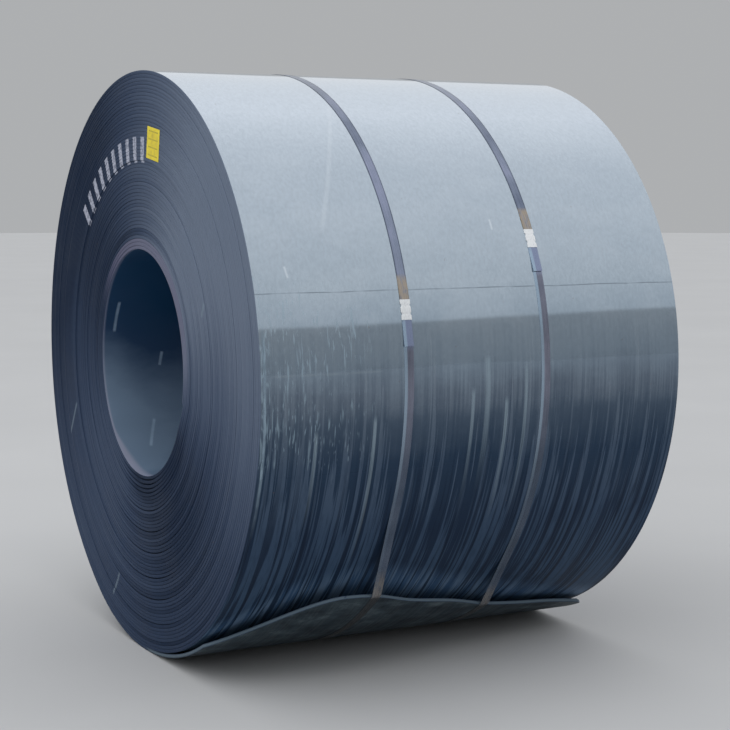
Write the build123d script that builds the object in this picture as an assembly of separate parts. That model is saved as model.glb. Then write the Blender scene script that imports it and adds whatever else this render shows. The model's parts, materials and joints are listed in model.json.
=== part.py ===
from build123d import *
import math
import os

# Hot rolled steel coil lying on its side, in millimetres.
# The coil's axis runs along X, with the end face that is seen at -X.
# The seen side is -Y, and the lowest point stands on the plane Z = 0.
# An angle is measured round the axis from the bottom, rising on the -Y side.

# Strip and winding
STRIP_WIDTH = 1500.0
STRIP_THICKNESS = 11.75
BORE_RADIUS = 381.0

# The turns wander sideways as they are wound, in groups from the bore outwards.
# Each pair is the group's number of turns and how far it stands out at the -X end.
# The first group holds the slack turns, and the label lies on the widest group.
TURN_GROUPS = (
    (5, 1.5), (2, -0.5), (3, 0.5), (4, -1.0), (5, 1.0), (6, -1.5),
    (11, 2.0), (5, 0.5), (5, 1.5), (4, 0.0),
)

# Head end: the first cut edge of the strip, inside the bore
HEAD_ANGLE = 75.0

# Slack turns: crescent gaps between the first turns, at the bottom of both ends
SLACK_WIDTHS = (4.0, 3.5, 3.0, 2.5)
SLACK_ANGLE = -5.0
SLACK_HALF_ANGLE = 42.0
SLACK_DEPTH = 60.0

# Tail: from the bottom on it has sprung off the turn below it to a flatter arc, whose
# centre lies above the axis. The angles of its cut edge, rounded to a tongue, are about
# that centre. The gap under it opens a little past the bottom.
SPRING_BACK = 170.0
GAP_START_ANGLE = 4.0
NEAR_CORNER_ANGLE = 27.0
NEAR_SHOULDER = 170.0
NEAR_SHOULDER_ANGLE = 36.2
TAIL_ANGLE_AT_NEAR_STRAP = 41.0
TAIL_ANGLE_AT_FAR_STRAP = 31.8
FAR_SHOULDER = 170.0
FAR_SHOULDER_ANGLE = 27.5
FAR_CORNER_ANGLE = 23.0
TAIL_MIDDLE_ANGLE = 25.0
TAIL_ROOM_ANGLE = 2.0

# Last layer: it reaches from the tail end under the coil, and leaves the turn below it
# by a smooth step on the far side, about as far from the bottom as the tail's mean edge
CLIMB_MIDDLE_ANGLE = -31.0
CLIMB_HALF_ANGLE = 15.0

# Straps and their seals
STRAP_WIDTH = 32.0
STRAP_THICKNESS = 1.0
NEAR_STRAP_FROM_END = 490.0
FAR_STRAP_FROM_END = 980.0
STRAP_PAST_ANGLE = 0.4
FREE_END = 80.0
UNDER_END = 30.0
LAP_RAMP = 25.0
NEAR_SEAL_ANGLE = 103.1
FAR_SEAL_ANGLE = 116.0
SEAL_LENGTH = 62.0
SEAL_THICKNESS = 1.2
SEAL_SIDE_PLAY = 0.3
SEAL_LIFT = 0.3
CRIMP_SPACING = 26.0
CRIMP_RADIUS = 6.0
CRIMP_BITE = 3.0

# Blank label on the seen end face
LABEL_WIDTH = 110.0
LABEL_HEIGHT = 104.0
LABEL_THICKNESS = 0.5
LABEL_FRONT = 145.0
LABEL_UP = 725.0

# Room by which a cutting shape passes the surface that it cuts
PAST = 40.0

TURNS = sum(turns for turns, shift in TURN_GROUPS)
UNDER_TAIL_RADIUS = BORE_RADIUS + TURNS * STRIP_THICKNESS
OUTER_RADIUS = UNDER_TAIL_RADIUS + STRIP_THICKNESS
TAIL_RADIUS = OUTER_RADIUS + SPRING_BACK
TAIL_CENTRE = (0.0, SPRING_BACK)
AXIS = (0.0, 0.0)
AXIS_HEIGHT = OUTER_RADIUS + STRAP_THICKNESS
NEAR_END = -STRIP_WIDTH / 2
FAR_END = STRIP_WIDTH / 2


def polar(radius, angle, centre=AXIS):
    """Point (y, z) from the coil's axis, at a radius and an angle from the bottom about a centre."""
    turn = math.radians(angle)
    return centre[0] - radius * math.sin(turn), centre[1] - radius * math.cos(turn)


def arc(centre, radius, start, end):
    """Arc from one angle to another, about a centre."""
    points = [polar(radius, angle, centre) for angle in (start, (start + end) / 2, end)]
    return ThreePointArc(*points)


def across(profile, low, high):
    """Solid of a (y, z) profile between two places along the coil's axis."""
    plane = Plane(origin=(low, 0, AXIS_HEIGHT), x_dir=(0, 1, 0), z_dir=(1, 0, 0))
    return extrude(plane * profile, amount=high - low)


def wound_arcs(upper, lower, height=0.0):
    """Arcs of the last turn at a height above it, from its tail back to a lower angle.

    The tail's arc and the coil's circle touch at the bottom. A tight arc and a flat arc
    then take the surface down by one strip. Their centres lie as far from the axis as
    makes them tangent to each other and to the circles beside them.
    """
    high_end = CLIMB_MIDDLE_ANGLE + CLIMB_HALF_ANGLE
    low_end = CLIMB_MIDDLE_ANGLE - CLIMB_HALF_ANGLE
    away = STRIP_THICKNESS / 2 / (1 - math.cos(math.radians(CLIMB_HALF_ANGLE)))
    high, low = OUTER_RADIUS + height, UNDER_TAIL_RADIUS + height
    return [
        arc(TAIL_CENTRE, TAIL_RADIUS + height, upper, 0.0),
        arc(AXIS, high, 0.0, high_end),
        arc(polar(away, high_end), high - away, high_end, CLIMB_MIDDLE_ANGLE),
        arc(polar(-away, low_end), low + away, CLIMB_MIDDLE_ANGLE, low_end),
        arc(AXIS, low, low_end, lower - 360),
    ]


def group_edges():
    """Radius at which each group of turns starts and ends, with its sideways shift."""
    radius = BORE_RADIUS
    groups = []
    for turns, shift in TURN_GROUPS:
        outer = radius + turns * STRIP_THICKNESS
        groups.append((radius, outer, shift))
        radius = outer
    return groups


def turned_body():
    """Coil turned about its axis, with the wandering turns as steps on both ends."""
    near_side = []
    far_side = []
    groups = group_edges()
    for inner, outer, shift in groups:
        rim = TAIL_RADIUS if outer == groups[-1][1] else outer
        near_side += [(NEAR_END - shift, inner), (NEAR_END - shift, rim)]
        far_side += [(FAR_END - shift, inner), (FAR_END - shift, rim)]
    profile = make_face(Polyline(*near_side, *reversed(far_side), close=True))
    axis_plane = Plane(origin=(0, 0, AXIS_HEIGHT), x_dir=(1, 0, 0), z_dir=(0, -1, 0))
    return revolve(axis_plane * profile, Axis((0, 0, AXIS_HEIGHT), (1, 0, 0)))


def outer_surface():
    """Prism inside the last turn, with the sprung tail and its gap across the whole width."""
    tail_end = max(angle for place, angle in tail_angles()) + TAIL_ROOM_ANGLE
    under_tail = TAIL_RADIUS - STRIP_THICKNESS
    gap_corner = polar(under_tail, GAP_START_ANGLE, TAIL_CENTRE)
    gap_angle = math.degrees(math.atan2(-gap_corner[0], -gap_corner[1]))
    edges = wound_arcs(tail_end, gap_angle)
    edges += [
        Line(polar(UNDER_TAIL_RADIUS, gap_angle), gap_corner),
        arc(TAIL_CENTRE, under_tail, GAP_START_ANGLE, tail_end),
        Line(polar(under_tail, tail_end, TAIL_CENTRE), polar(TAIL_RADIUS, tail_end, TAIL_CENTRE)),
    ]
    return across(make_face(edges), NEAR_END - PAST, FAR_END + PAST)


def tail_angles():
    """Places along the axis and angles that the tongue's edge passes through."""
    return (
        (NEAR_END, NEAR_CORNER_ANGLE),
        (NEAR_END + NEAR_SHOULDER, NEAR_SHOULDER_ANGLE),
        (NEAR_END + NEAR_STRAP_FROM_END, TAIL_ANGLE_AT_NEAR_STRAP),
        (NEAR_END + FAR_STRAP_FROM_END, TAIL_ANGLE_AT_FAR_STRAP),
        (FAR_END - FAR_SHOULDER, FAR_SHOULDER_ANGLE),
        (FAR_END, FAR_CORNER_ANGLE),
    )


def tail_waste():
    """What is cut off the tail to leave its end as a rounded tongue."""
    tail = tail_angles()
    high_angle = max(angle for place, angle in tail) + 2 * TAIL_ROOM_ANGLE
    low_angle = min(angle for place, angle in tail) - TAIL_ROOM_ANGLE

    def rise(angle):
        return TAIL_RADIUS * math.sin(math.radians(angle - TAIL_MIDDLE_ANGLE))

    tongue = [(place, rise(angle)) for place, angle in tail]
    top = rise(high_angle) + PAST
    (low_x, low_rise), (high_x, high_rise) = tongue[0], tongue[-1]
    edge = Spline(*tongue)
    around = Polyline((high_x, high_rise), (high_x + PAST, high_rise), (high_x + PAST, top),
                      (low_x - PAST, top), (low_x - PAST, low_rise), (low_x, low_rise))
    out = (0.0, *polar(1.0, TAIL_MIDDLE_ANGLE))
    plane = Plane(origin=(0, 0, AXIS_HEIGHT + SPRING_BACK), x_dir=(1, 0, 0), z_dir=out)
    block = extrude(plane * make_face([edge, around]), amount=TAIL_RADIUS + 2 * PAST)
    in_gap, outside = TAIL_RADIUS - 1.5 * STRIP_THICKNESS, TAIL_RADIUS + PAST
    corners = [polar(radius, angle, TAIL_CENTRE) for radius, angle in (
        (in_gap, low_angle), (outside, low_angle), (outside, high_angle), (in_gap, high_angle))]
    shell_edges = [
        Line(corners[0], corners[1]),
        arc(TAIL_CENTRE, outside, low_angle, high_angle),
        Line(corners[2], corners[3]),
        arc(TAIL_CENTRE, in_gap, high_angle, low_angle),
    ]
    return block & across(make_face(shell_edges), NEAR_END - PAST, FAR_END + PAST)


def head_gap():
    """Wedge left beside the head end, where the second turn climbs over it."""
    over_head = BORE_RADIUS + STRIP_THICKNESS
    climb = math.degrees(math.acos(BORE_RADIUS / over_head))
    corner = polar(over_head, HEAD_ANGLE)
    foot = polar(BORE_RADIUS, HEAD_ANGLE - climb)
    inside = [polar(BORE_RADIUS - PAST, angle) for angle in (HEAD_ANGLE - climb, HEAD_ANGLE)]
    wedge = make_face(Polyline(corner, foot, *inside, close=True))
    return across(wedge, NEAR_END - PAST, FAR_END + PAST)


def slack_gaps():
    """Crescent gaps under the bore, where the first turns have slackened."""
    gaps = []
    ends = [(NEAR_END - PAST, NEAR_END + SLACK_DEPTH), (FAR_END - SLACK_DEPTH, FAR_END + PAST)]
    for number, width in enumerate(SLACK_WIDTHS, start=1):
        radius = BORE_RADIUS + number * STRIP_THICKNESS
        left = polar(radius, SLACK_ANGLE - SLACK_HALF_ANGLE)
        right = polar(radius, SLACK_ANGLE + SLACK_HALF_ANGLE)
        inner = ThreePointArc(left, polar(radius, SLACK_ANGLE), right)
        outer = ThreePointArc(right, polar(radius + width, SLACK_ANGLE), left)
        crescent = make_face([inner, outer])
        gaps += [across(crescent, low, high) for low, high in ends]
    return gaps


def make_coil():
    coil = turned_body() & outer_surface()
    coil = coil - tail_waste() - head_gap()
    for gap in slack_gaps():
        coil = coil - gap
    return coil


def strap_loop(height, tail_angle):
    """Closed line round the coil at a height above it, straight from the tail's edge to the turns."""
    edge = polar(TAIL_RADIUS, tail_angle + STRAP_PAST_ANGLE, TAIL_CENTRE)
    to_touch = math.acos(UNDER_TAIL_RADIUS / math.hypot(*edge))
    touch_angle = math.degrees(math.atan2(-edge[0], -edge[1]) + to_touch)
    low, high = UNDER_TAIL_RADIUS + height, TAIL_RADIUS + height
    spring_along = SPRING_BACK * math.cos(math.radians(touch_angle))
    corner_angle = touch_angle - math.degrees(math.acos((low + spring_along) / high))
    slope = Line(polar(low, touch_angle), polar(high, corner_angle, TAIL_CENTRE))
    return make_face([*wound_arcs(corner_angle, touch_angle, height), slope])


def bent_strip(low, high, start, end, ramp=0.0):
    """Profile of a strip over the coil beside the tail; its upper end may slope down."""
    inner, outer = UNDER_TAIL_RADIUS + low, UNDER_TAIL_RADIUS + high
    edges = [
        arc(AXIS, inner, start, end + ramp),
        Line(polar(inner, end + ramp), polar(outer, end)),
        arc(AXIS, outer, end, start),
        Line(polar(outer, start), polar(inner, start)),
    ]
    return make_face(edges)


def degrees_along(length):
    """Angle that a length takes up round the coil."""
    return math.degrees(length / UNDER_TAIL_RADIUS)


def make_strap(from_end, tail_angle, seal_angle):
    """Steel strap round the coil, with its ends lapped under the seal."""
    low = NEAR_END + from_end - STRAP_WIDTH / 2
    high = low + STRAP_WIDTH
    half_seal = SEAL_LENGTH / 2
    start = seal_angle - degrees_along(half_seal + FREE_END)
    end = seal_angle + degrees_along(half_seal + UNDER_END)
    loop = strap_loop(STRAP_THICKNESS, tail_angle) - strap_loop(0.0, tail_angle)
    lap = bent_strip(STRAP_THICKNESS, 2 * STRAP_THICKNESS, start, end, degrees_along(LAP_RAMP))
    return across(loop, low, high) + across(lap, low, high)


def make_seal(from_end, seal_angle):
    """Crimped steel seal folded over the lapped strap."""
    middle = NEAR_END + from_end
    half_seal = degrees_along(SEAL_LENGTH / 2)
    half_room = STRAP_WIDTH / 2 + SEAL_SIDE_PLAY
    half_width = half_room + SEAL_THICKNESS
    top = 2 * STRAP_THICKNESS + SEAL_THICKNESS
    start, end = seal_angle - half_seal, seal_angle + half_seal
    past = degrees_along(PAST)
    body = across(bent_strip(SEAL_LIFT, top, start, end), middle - half_width, middle + half_width)
    room = bent_strip(-PAST, 2 * STRAP_THICKNESS, start - past, end + past)
    seal = body - across(room, middle - half_room, middle + half_room)
    for offset in (-CRIMP_SPACING / 2, CRIMP_SPACING / 2):
        angle = seal_angle + degrees_along(offset)
        foot = polar(UNDER_TAIL_RADIUS - PAST, angle)
        out = (0.0, *polar(1.0, angle))
        for side in (-1, 1):
            place = middle + side * (half_width + CRIMP_RADIUS - CRIMP_BITE)
            plane = Plane(origin=(place, foot[0], foot[1] + AXIS_HEIGHT), z_dir=out)
            seal = seal - extrude(plane * Circle(CRIMP_RADIUS), amount=2 * PAST)
    return seal


def make_label():
    """Blank label stuck to the widest group of turns."""
    widest = max(TURN_GROUPS)
    face = NEAR_END - widest[1]
    centre = (face - LABEL_THICKNESS / 2, -LABEL_FRONT, AXIS_HEIGHT + LABEL_UP)
    return Pos(*centre) * Box(LABEL_THICKNESS, LABEL_WIDTH, LABEL_HEIGHT)


def save(node, shape):
    export_step(shape, f"parts/{node}.step")


os.makedirs("parts", exist_ok=True)
save("coil", make_coil())
save("strap_near", make_strap(NEAR_STRAP_FROM_END, TAIL_ANGLE_AT_NEAR_STRAP, NEAR_SEAL_ANGLE))
save("strap_far", make_strap(FAR_STRAP_FROM_END, TAIL_ANGLE_AT_FAR_STRAP, FAR_SEAL_ANGLE))
save("seal_near", make_seal(NEAR_STRAP_FROM_END, NEAR_SEAL_ANGLE))
save("seal_far", make_seal(FAR_STRAP_FROM_END, FAR_SEAL_ANGLE))
save("label", make_label())
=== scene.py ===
import json
import math

import bpy
import numpy as np
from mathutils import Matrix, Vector


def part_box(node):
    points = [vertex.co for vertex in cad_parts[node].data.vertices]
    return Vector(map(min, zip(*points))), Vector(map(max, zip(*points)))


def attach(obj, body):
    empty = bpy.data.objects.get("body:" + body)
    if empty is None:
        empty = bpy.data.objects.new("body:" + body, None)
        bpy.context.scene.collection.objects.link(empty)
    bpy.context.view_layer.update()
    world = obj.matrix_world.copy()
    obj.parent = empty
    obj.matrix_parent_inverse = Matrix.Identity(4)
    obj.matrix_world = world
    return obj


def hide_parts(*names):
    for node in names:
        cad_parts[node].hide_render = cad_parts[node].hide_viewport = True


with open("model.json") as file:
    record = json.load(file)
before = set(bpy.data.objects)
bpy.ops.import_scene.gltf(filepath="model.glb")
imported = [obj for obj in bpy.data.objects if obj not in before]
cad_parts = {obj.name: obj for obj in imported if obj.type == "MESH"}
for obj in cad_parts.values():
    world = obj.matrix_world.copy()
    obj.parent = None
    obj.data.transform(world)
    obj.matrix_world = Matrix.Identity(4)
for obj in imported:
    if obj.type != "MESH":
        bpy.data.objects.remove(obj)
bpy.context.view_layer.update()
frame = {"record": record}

# Hot rolled steel coil, in metres, in the frame of its solids: the axis along X with the
# seen end face at -X, the seen side at -Y, and the floor at Z = 0.
# An angle is measured round the axis from the bottom, in degrees, rising on the seen side.
# A turn is counted from the strip's head end, in the bore, to its tail end, under the coil.

MM = 0.001
mounts = {mount["name"]: mount for mount in frame["record"]["mounts"]}

# Strip and winding, as in the solids
AXIS_HEIGHT = mounts["bore"]["pos_m"][2]
BORE_RADIUS = mounts["bore"]["dims"]["r_mm"] * MM
STRIP_WIDTH = 1500 * MM
STRIP_THICKNESS = 11.75 * MM
TURN_GROUPS = (
    (5, 1.5), (2, -0.5), (3, 0.5), (4, -1.0), (5, 1.0), (6, -1.5),
    (11, 2.0), (5, 0.5), (5, 1.5), (4, 0.0),
)
TURNS = sum(turns for turns, shift in TURN_GROUPS)
UNDER_TAIL_RADIUS = BORE_RADIUS + TURNS * STRIP_THICKNESS
OUTER_RADIUS = UNDER_TAIL_RADIUS + STRIP_THICKNESS
NEAR_END = -STRIP_WIDTH / 2
FAR_END = STRIP_WIDTH / 2
HEAD_ANGLE = 75.0
CLIMB_MIDDLE = -31.0
CLIMB_HALF_SPAN = 15.0

# Tail: from the bottom on it has sprung off to a flatter arc, whose centre lies above the
# axis. Its edge passes through distances from the near end and angles about that centre.
SPRING_BACK = 170 * MM
TAIL_RADIUS = OUTER_RADIUS + SPRING_BACK
TAIL_EDGE = (
    (0 * MM, 27.0), (110 * MM, 33.3), (220 * MM, 38.4), (380 * MM, 41.6), (490 * MM, 41.0),
    (650 * MM, 37.8), (850 * MM, 34.9), (980 * MM, 31.8), (1120 * MM, 29.6), (1330 * MM, 27.0),
    (1500 * MM, 23.0),
)
TAIL_LOW_ANGLE = min(angle for place, angle in TAIL_EDGE)
TAIL_TIP_ANGLE = max(angle for place, angle in TAIL_EDGE)
SPRUNG_FROM = TURNS - HEAD_ANGLE / 360
WOUND = SPRUNG_FROM + TAIL_TIP_ANGLE / 360

# Slack turns: how far, in mm, their gaps have added up at a number of turns from the bore
SLACK_ANGLE = -5.0
SLACK_HALF_SPAN = 42.0
SLACK_TOTALS = (
    (0.78, 0), (1.78, 4), (2.78, 7.5), (3.78, 10.5), (4.78, 13), (8.8, 10.5), (9.8, 13), (14.8, 9),
    (15.8, 12), (20.8, 8), (21.8, 11), (27.8, 7), (28.8, 10), (33.8, 6.5), (34.8, 9.5), (40.8, 4.5),
    (41.8, 6.5), (48.5, 0.6),
)
SLACK_THINNING = 0.7 * MM

# How the drawn strip differs from a perfect one. It wanders sideways by shares of a distance,
# each with a pitch in turns and a seed, and its edge passes through insets and heights in mm.
# The crown is 1 along the middle of that edge and 0 at its corners. The points of the tongue's
# edge crowd towards its peak.
CHORD = 22.3 * MM
AIR = 0.35 * MM
WANDER = 0.7 * MM
WANDER_NOISES = ((0.6, 0.77, 3), (0.4, 0.13, 4))
SOFT_SHIFT_TURNS = 0.12
EDGE_PROFILE = ((1.7, 0.0), (0.4, 1.5), (0.0, 5.8), (0.4, 10.2), (1.7, 11.75))
EDGE_CROWNS = (0.0, 0.55, 1.0, 0.55, 0.0)
BORE_TURNS = 1.02
TONGUE_NEAR_POINTS = 36
TONGUE_FAR_POINTS = 48
TONGUE_CROWDING = 1.6
SHARP_ANGLE = 35

# Straps and seals
STRAP_WIDTH = 32 * MM
STRAP_THICKNESS = 1.0 * MM
STRAP_PAST_TAIL = 0.4
STRAP_CORNER = 0.25 * MM
STRAP_LIFT = 0.04 * MM
STRAP_THINNER = 0.1 * MM
FREE_END = 80 * MM
UNDER_END = 30 * MM
LAP_RAMP = 25 * MM
END_LIFT = 3.5 * MM
SEAL_LENGTH = 62 * MM
SEAL_THICKNESS = 1.2 * MM
SEAL_SIDE_PLAY = 0.3 * MM
SEAL_LIFT = 0.3 * MM
CRIMP_SPACING = 26 * MM
CRIMP_RADIUS = 6 * MM
CRIMP_BITE = 3 * MM
STRAP_STEP = 0.6
STRAP_SEAL_POINTS = 50
SEAL_POINTS = 63
STRAPS = {
    "near": {"from_end": 490 * MM, "tail_angle": 41.0, "seal_angle": 103.1},
    "far": {"from_end": 980 * MM, "tail_angle": 31.8, "seal_angle": 116.0},
}
# Half of a seal's outside: insets, depths below its top, and how much of the dents they take
SEAL_ROUNDING = (
    (0 * MM, 1.3 * MM, 0), (0.3 * MM, 0.5 * MM, 0), (1.1 * MM, 0.05 * MM, 1),
    (3.5 * MM, 0 * MM, 1), (8 * MM, 0 * MM, 0.3),
)
SEAL_DENT = 0.15

# Label on the seen end face, a little askew in degrees
LABEL_LEAN = 9.0
LABEL_PAPER = 0.25 * MM
LABEL_POINTS = 25
LABEL_RULES = 4

# Painted bars on the seen end face: angles are from the top, rising towards the back
MARK_COUNT = 10
MARK_FIRST = -3.6
MARK_PITCH = 5.6
MARK_RADIUS = 710 * MM
MARK_LENGTH = 84 * MM
MARK_WIDTH = 30 * MM
MARK_SOFT = 2.5 * MM

# Tones of the scale and of its rubbed streaks, from the bottom to the top, as parts of half a turn. They
# are painted shade and light: very dark low down, where the side faces the floor, and paled on top as a
# painted highlight of the bright sky overhead.
SCALE_TONES_WITH_PAINTED_SHADE = (
    (0.22, (0.009, 0.024, 0.055, 1)), (0.34, (0.011, 0.026, 0.058, 1)),
    (0.42, (0.025, 0.049, 0.090, 1)), (0.465, (0.076, 0.109, 0.157, 1)),
    (0.49, (0.138, 0.177, 0.232, 1)), (0.52, (0.256, 0.325, 0.400, 1)),
    (0.60, (0.402, 0.473, 0.540, 1)), (0.73, (0.464, 0.535, 0.607, 1)),
    (0.82, (0.620, 0.690, 0.770, 1)),
)
RUBBED_TONES_WITH_PAINTED_SHADE = (
    (0.26, (0.039, 0.075, 0.134, 1)), (0.34, (0.041, 0.073, 0.129, 1)),
    (0.42, (0.078, 0.115, 0.175, 1)), (0.48, (0.178, 0.225, 0.283, 1)),
    (0.56, (0.382, 0.444, 0.506, 1)),
)
STREAKS_FULL = 45.0
STREAKS_SPAN = 53.0

# Marks on the seen side: distances from the near end, widths, and angles
PALE_STREAKS = (
    (768 * MM, 16 * MM, 94, 66), (716 * MM, 7 * MM, 88, 62), (838 * MM, 8 * MM, 86, 58),
    (908 * MM, 7 * MM, 92, 60), (378 * MM, 8 * MM, 84, 50), (184 * MM, 7 * MM, 82, 62),
)
# Painted highlight: a pale line this far from the near end
RIM_HIGHLIGHT = 15 * MM
# Angles of the creases, drawn as a line of painted shade and a fainter line of painted highlight
CREASE_ANGLE = 106.7
FAINT_CREASE_ANGLE = 92.4
SIDE_SCRATCHES = (((247 * MM, 117), (478 * MM, 152)),)
SIDE_DASHES = (((108 * MM, 111.6), (115 * MM, 109.3)), ((848 * MM, 120.2), (848 * MM, 117.8)))
BORE_SCRATCHES = (
    ((50 * MM, -119.5), (42 * MM, -101)), ((164 * MM, -53), (112 * MM, -33)),
    ((225 * MM, -90), (213 * MM, -82)),
)
# Scratches on the seen end face: distances from the axis towards the seen side and up
FACE_SCRATCHES = (
    ((-666 * MM, -201 * MM), (-747 * MM, -331 * MM)), ((558 * MM, 234 * MM), (536 * MM, 184 * MM)),
    ((-228 * MM, -759 * MM), (-305 * MM, -854 * MM)),
)

# Sheen of the end faces: it is brightest one way, paler on the opposite side, and dark between.
# The angle is from the seen side of the axis towards the top.
SHEEN_ANGLE = 40.0
SHEEN_ROUND = 0.32
SHEEN_PAIRED = 0.32
SHEEN_MEAN = 0.39

# Studio, and a camera fitted to both ends and both straps of the coil
FLOOR_RADIUS = 60
FLOOR_CORNERS = 96
SKY_EDGE = 14.6
SKY_SOFT = 0.5
OVERHEAD = 0.8
OVERHEAD_COLOUR = (0.94, 0.95, 0.97, 1)
SKY_COLOUR = (0.80, 0.82, 0.84, 1)
HORIZON_COLOUR = (0.42, 0.43, 0.44, 1)
LAMP = Vector((-6.0, -3.0, 8.5))
LAMP_AIM = Vector((0, 0, 0.8))
LAMP_SIZE = 16
LAMP_WATTS = 260
CAMERA = Vector((-2.80, -5.48, AXIS_HEIGHT + 0.5735))
CAMERA_AIM = Vector((0.081, -0.04, AXIS_HEIGHT - 0.043))
LENS = 85.7
SENSOR_WIDTH = 36


# Geometry of the winding

def polar(x, radius, angle, raised=0.0):
    """Points at a place along the axis, a radius and an angle about a centre raised above the axis."""
    turn = np.radians(angle)
    height = AXIS_HEIGHT + raised - radius * np.cos(turn)
    return np.stack(np.broadcast_arrays(x, -radius * np.sin(turn), height), -1)


def ray_to_circle(angle, away, direction, radius):
    """Distance from the axis to a circle whose centre lies away from it in a direction."""
    turn = np.radians(angle - direction)
    return away * np.cos(turn) + np.sqrt(radius ** 2 - (away * np.sin(turn)) ** 2)


def outline(angle):
    """Radius of the coil's outer surface if the tail lay tight on it."""
    low_end = CLIMB_MIDDLE - CLIMB_HALF_SPAN
    high_end = CLIMB_MIDDLE + CLIMB_HALF_SPAN
    angle = (angle - low_end) % 360 + low_end
    half = math.radians(CLIMB_HALF_SPAN)
    away = STRIP_THICKNESS / 2 / (1 - math.cos(half))
    meet = CLIMB_MIDDLE + math.degrees(
        math.atan2(away * math.sin(half), UNDER_TAIL_RADIUS + away * (1 - math.cos(half))))
    flat = ray_to_circle(angle, -away, low_end, UNDER_TAIL_RADIUS + away)
    tight = ray_to_circle(angle, away, high_end, OUTER_RADIUS - away)
    sections = [angle < meet, angle < high_end, angle < TAIL_TIP_ANGLE]
    return np.select(sections, [flat, tight, OUTER_RADIUS], UNDER_TAIL_RADIUS)


def climb_over_head(turn):
    """Part of a thickness that a turn has climbed, straight over the step of the head end."""
    span = math.degrees(math.acos(BORE_RADIUS / (BORE_RADIUS + STRIP_THICKNESS)))
    past_foot = np.maximum((turn % 1) * 360 - (360 - span), 0)
    return (BORE_RADIUS / np.cos(np.radians(past_foot)) - BORE_RADIUS) / STRIP_THICKNESS


def smooth_noise(turn, pitch, seed):
    """Noise from -1 to 1 that changes smoothly over a pitch in turns."""
    knots = np.random.default_rng(seed).uniform(-1, 1, int(WOUND / pitch) + 3)
    place = turn / pitch
    low = place.astype(int)
    part = place - low
    part = part * part * (3 - 2 * part)
    return knots[low] * (1 - part) + knots[low + 1] * part


def winding(turn):
    """Angle, inner and outer radius, height of their centre above the axis, and sideways shift
    of the strip at a number of turns."""
    angle = HEAD_ANGLE + turn * 360
    outwards = turn / WOUND
    from_bore = np.floor(turn) + climb_over_head(turn)
    layers_above = np.ceil(WOUND - turn) - 1
    from_outside = (outline(angle) - BORE_RADIUS) / STRIP_THICKNESS - 1 - np.maximum(layers_above, 0)
    layer = (1 - outwards) * from_bore + outwards * from_outside
    from_middle = (angle - SLACK_ANGLE + 180) % 360 - 180
    lune = np.where(abs(from_middle) < SLACK_HALF_SPAN,
                    (1 + np.cos(np.pi * from_middle / SLACK_HALF_SPAN)) / 2, 0)
    slack = lune * np.interp(turn, *np.transpose(SLACK_TOTALS)) * MM
    inner = BORE_RADIUS + layer * STRIP_THICKNESS + slack
    thinner = AIR * (1 - outwards) + SLACK_THINNING * lune * np.clip((WOUND - turn) / 3, 0, 1)
    outer = inner + STRIP_THICKNESS - thinner
    sprung = turn > SPRUNG_FROM
    inner = np.where(sprung, TAIL_RADIUS - STRIP_THICKNESS, inner)
    outer = np.where(sprung, TAIL_RADIUS, outer)
    return angle, inner, outer, np.where(sprung, SPRING_BACK, 0.0), sideways(turn)


def sideways(turn):
    """How far the strip stands out at the near end: its group's shift and its own wander."""
    edges, shifts = [0.0], []
    for turns, shift in TURN_GROUPS:
        edges.append(edges[-1] + turns)
        shifts.append(shift * MM)
    knots = [place for edge in edges[1:-1] for place in (edge - SOFT_SHIFT_TURNS, edge + SOFT_SHIFT_TURNS)]
    values = [shift for pair in zip(shifts, shifts[1:]) for shift in pair]
    wander = sum(share * smooth_noise(turn, pitch, seed) for share, pitch, seed in WANDER_NOISES)
    return np.clip(np.interp(turn, knots, values) + WANDER * wander, min(shifts), max(shifts))


def edge_angle(place):
    """Angle of the tongue's edge at distances from the near end: a smooth curve through its points."""
    knots, angles = np.transpose(TAIL_EDGE)
    slopes = np.gradient(angles, knots)
    slopes[angles.argmax()] = 0
    piece = np.clip(np.searchsorted(knots, place) - 1, 0, len(knots) - 2)
    width = knots[piece + 1] - knots[piece]
    part = (place - knots[piece]) / width
    left, right = part ** 2 * (3 - 2 * part), part * (1 - part)
    return (angles[piece] * (1 - left) + angles[piece + 1] * left
            + width * right * (slopes[piece] * (1 - part) - slopes[piece + 1] * part))


# Meshes

def new_piece(name, points, faces, slot, replaced, *materials):
    mesh = bpy.data.meshes.new(name)
    mesh.from_pydata(np.asarray(points).tolist(), [], [list(face) for face in faces])
    piece = bpy.data.objects.new(name, mesh)
    bpy.context.scene.collection.objects.link(piece)
    mesh.shade_smooth()
    mesh.set_sharp_from_angle(angle=math.radians(SHARP_ANGLE))
    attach(piece, "root")
    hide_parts(*replaced)
    for material in materials:
        mesh.materials.append(material)
    return piece


def ribbon_faces(sections, around):
    """Quads of a closed profile swept through sections, and its two end faces."""
    first = np.arange(sections - 1)[:, None] * around
    here = np.arange(around)
    beside = (here + 1) % around
    quads = np.stack([first + here, first + beside, first + beside + around, first + here + around], -1)
    last = (sections - 1) * around
    return quads.reshape(-1, 4).tolist(), [list(range(around))[::-1], list(range(last, last + around))]


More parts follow.
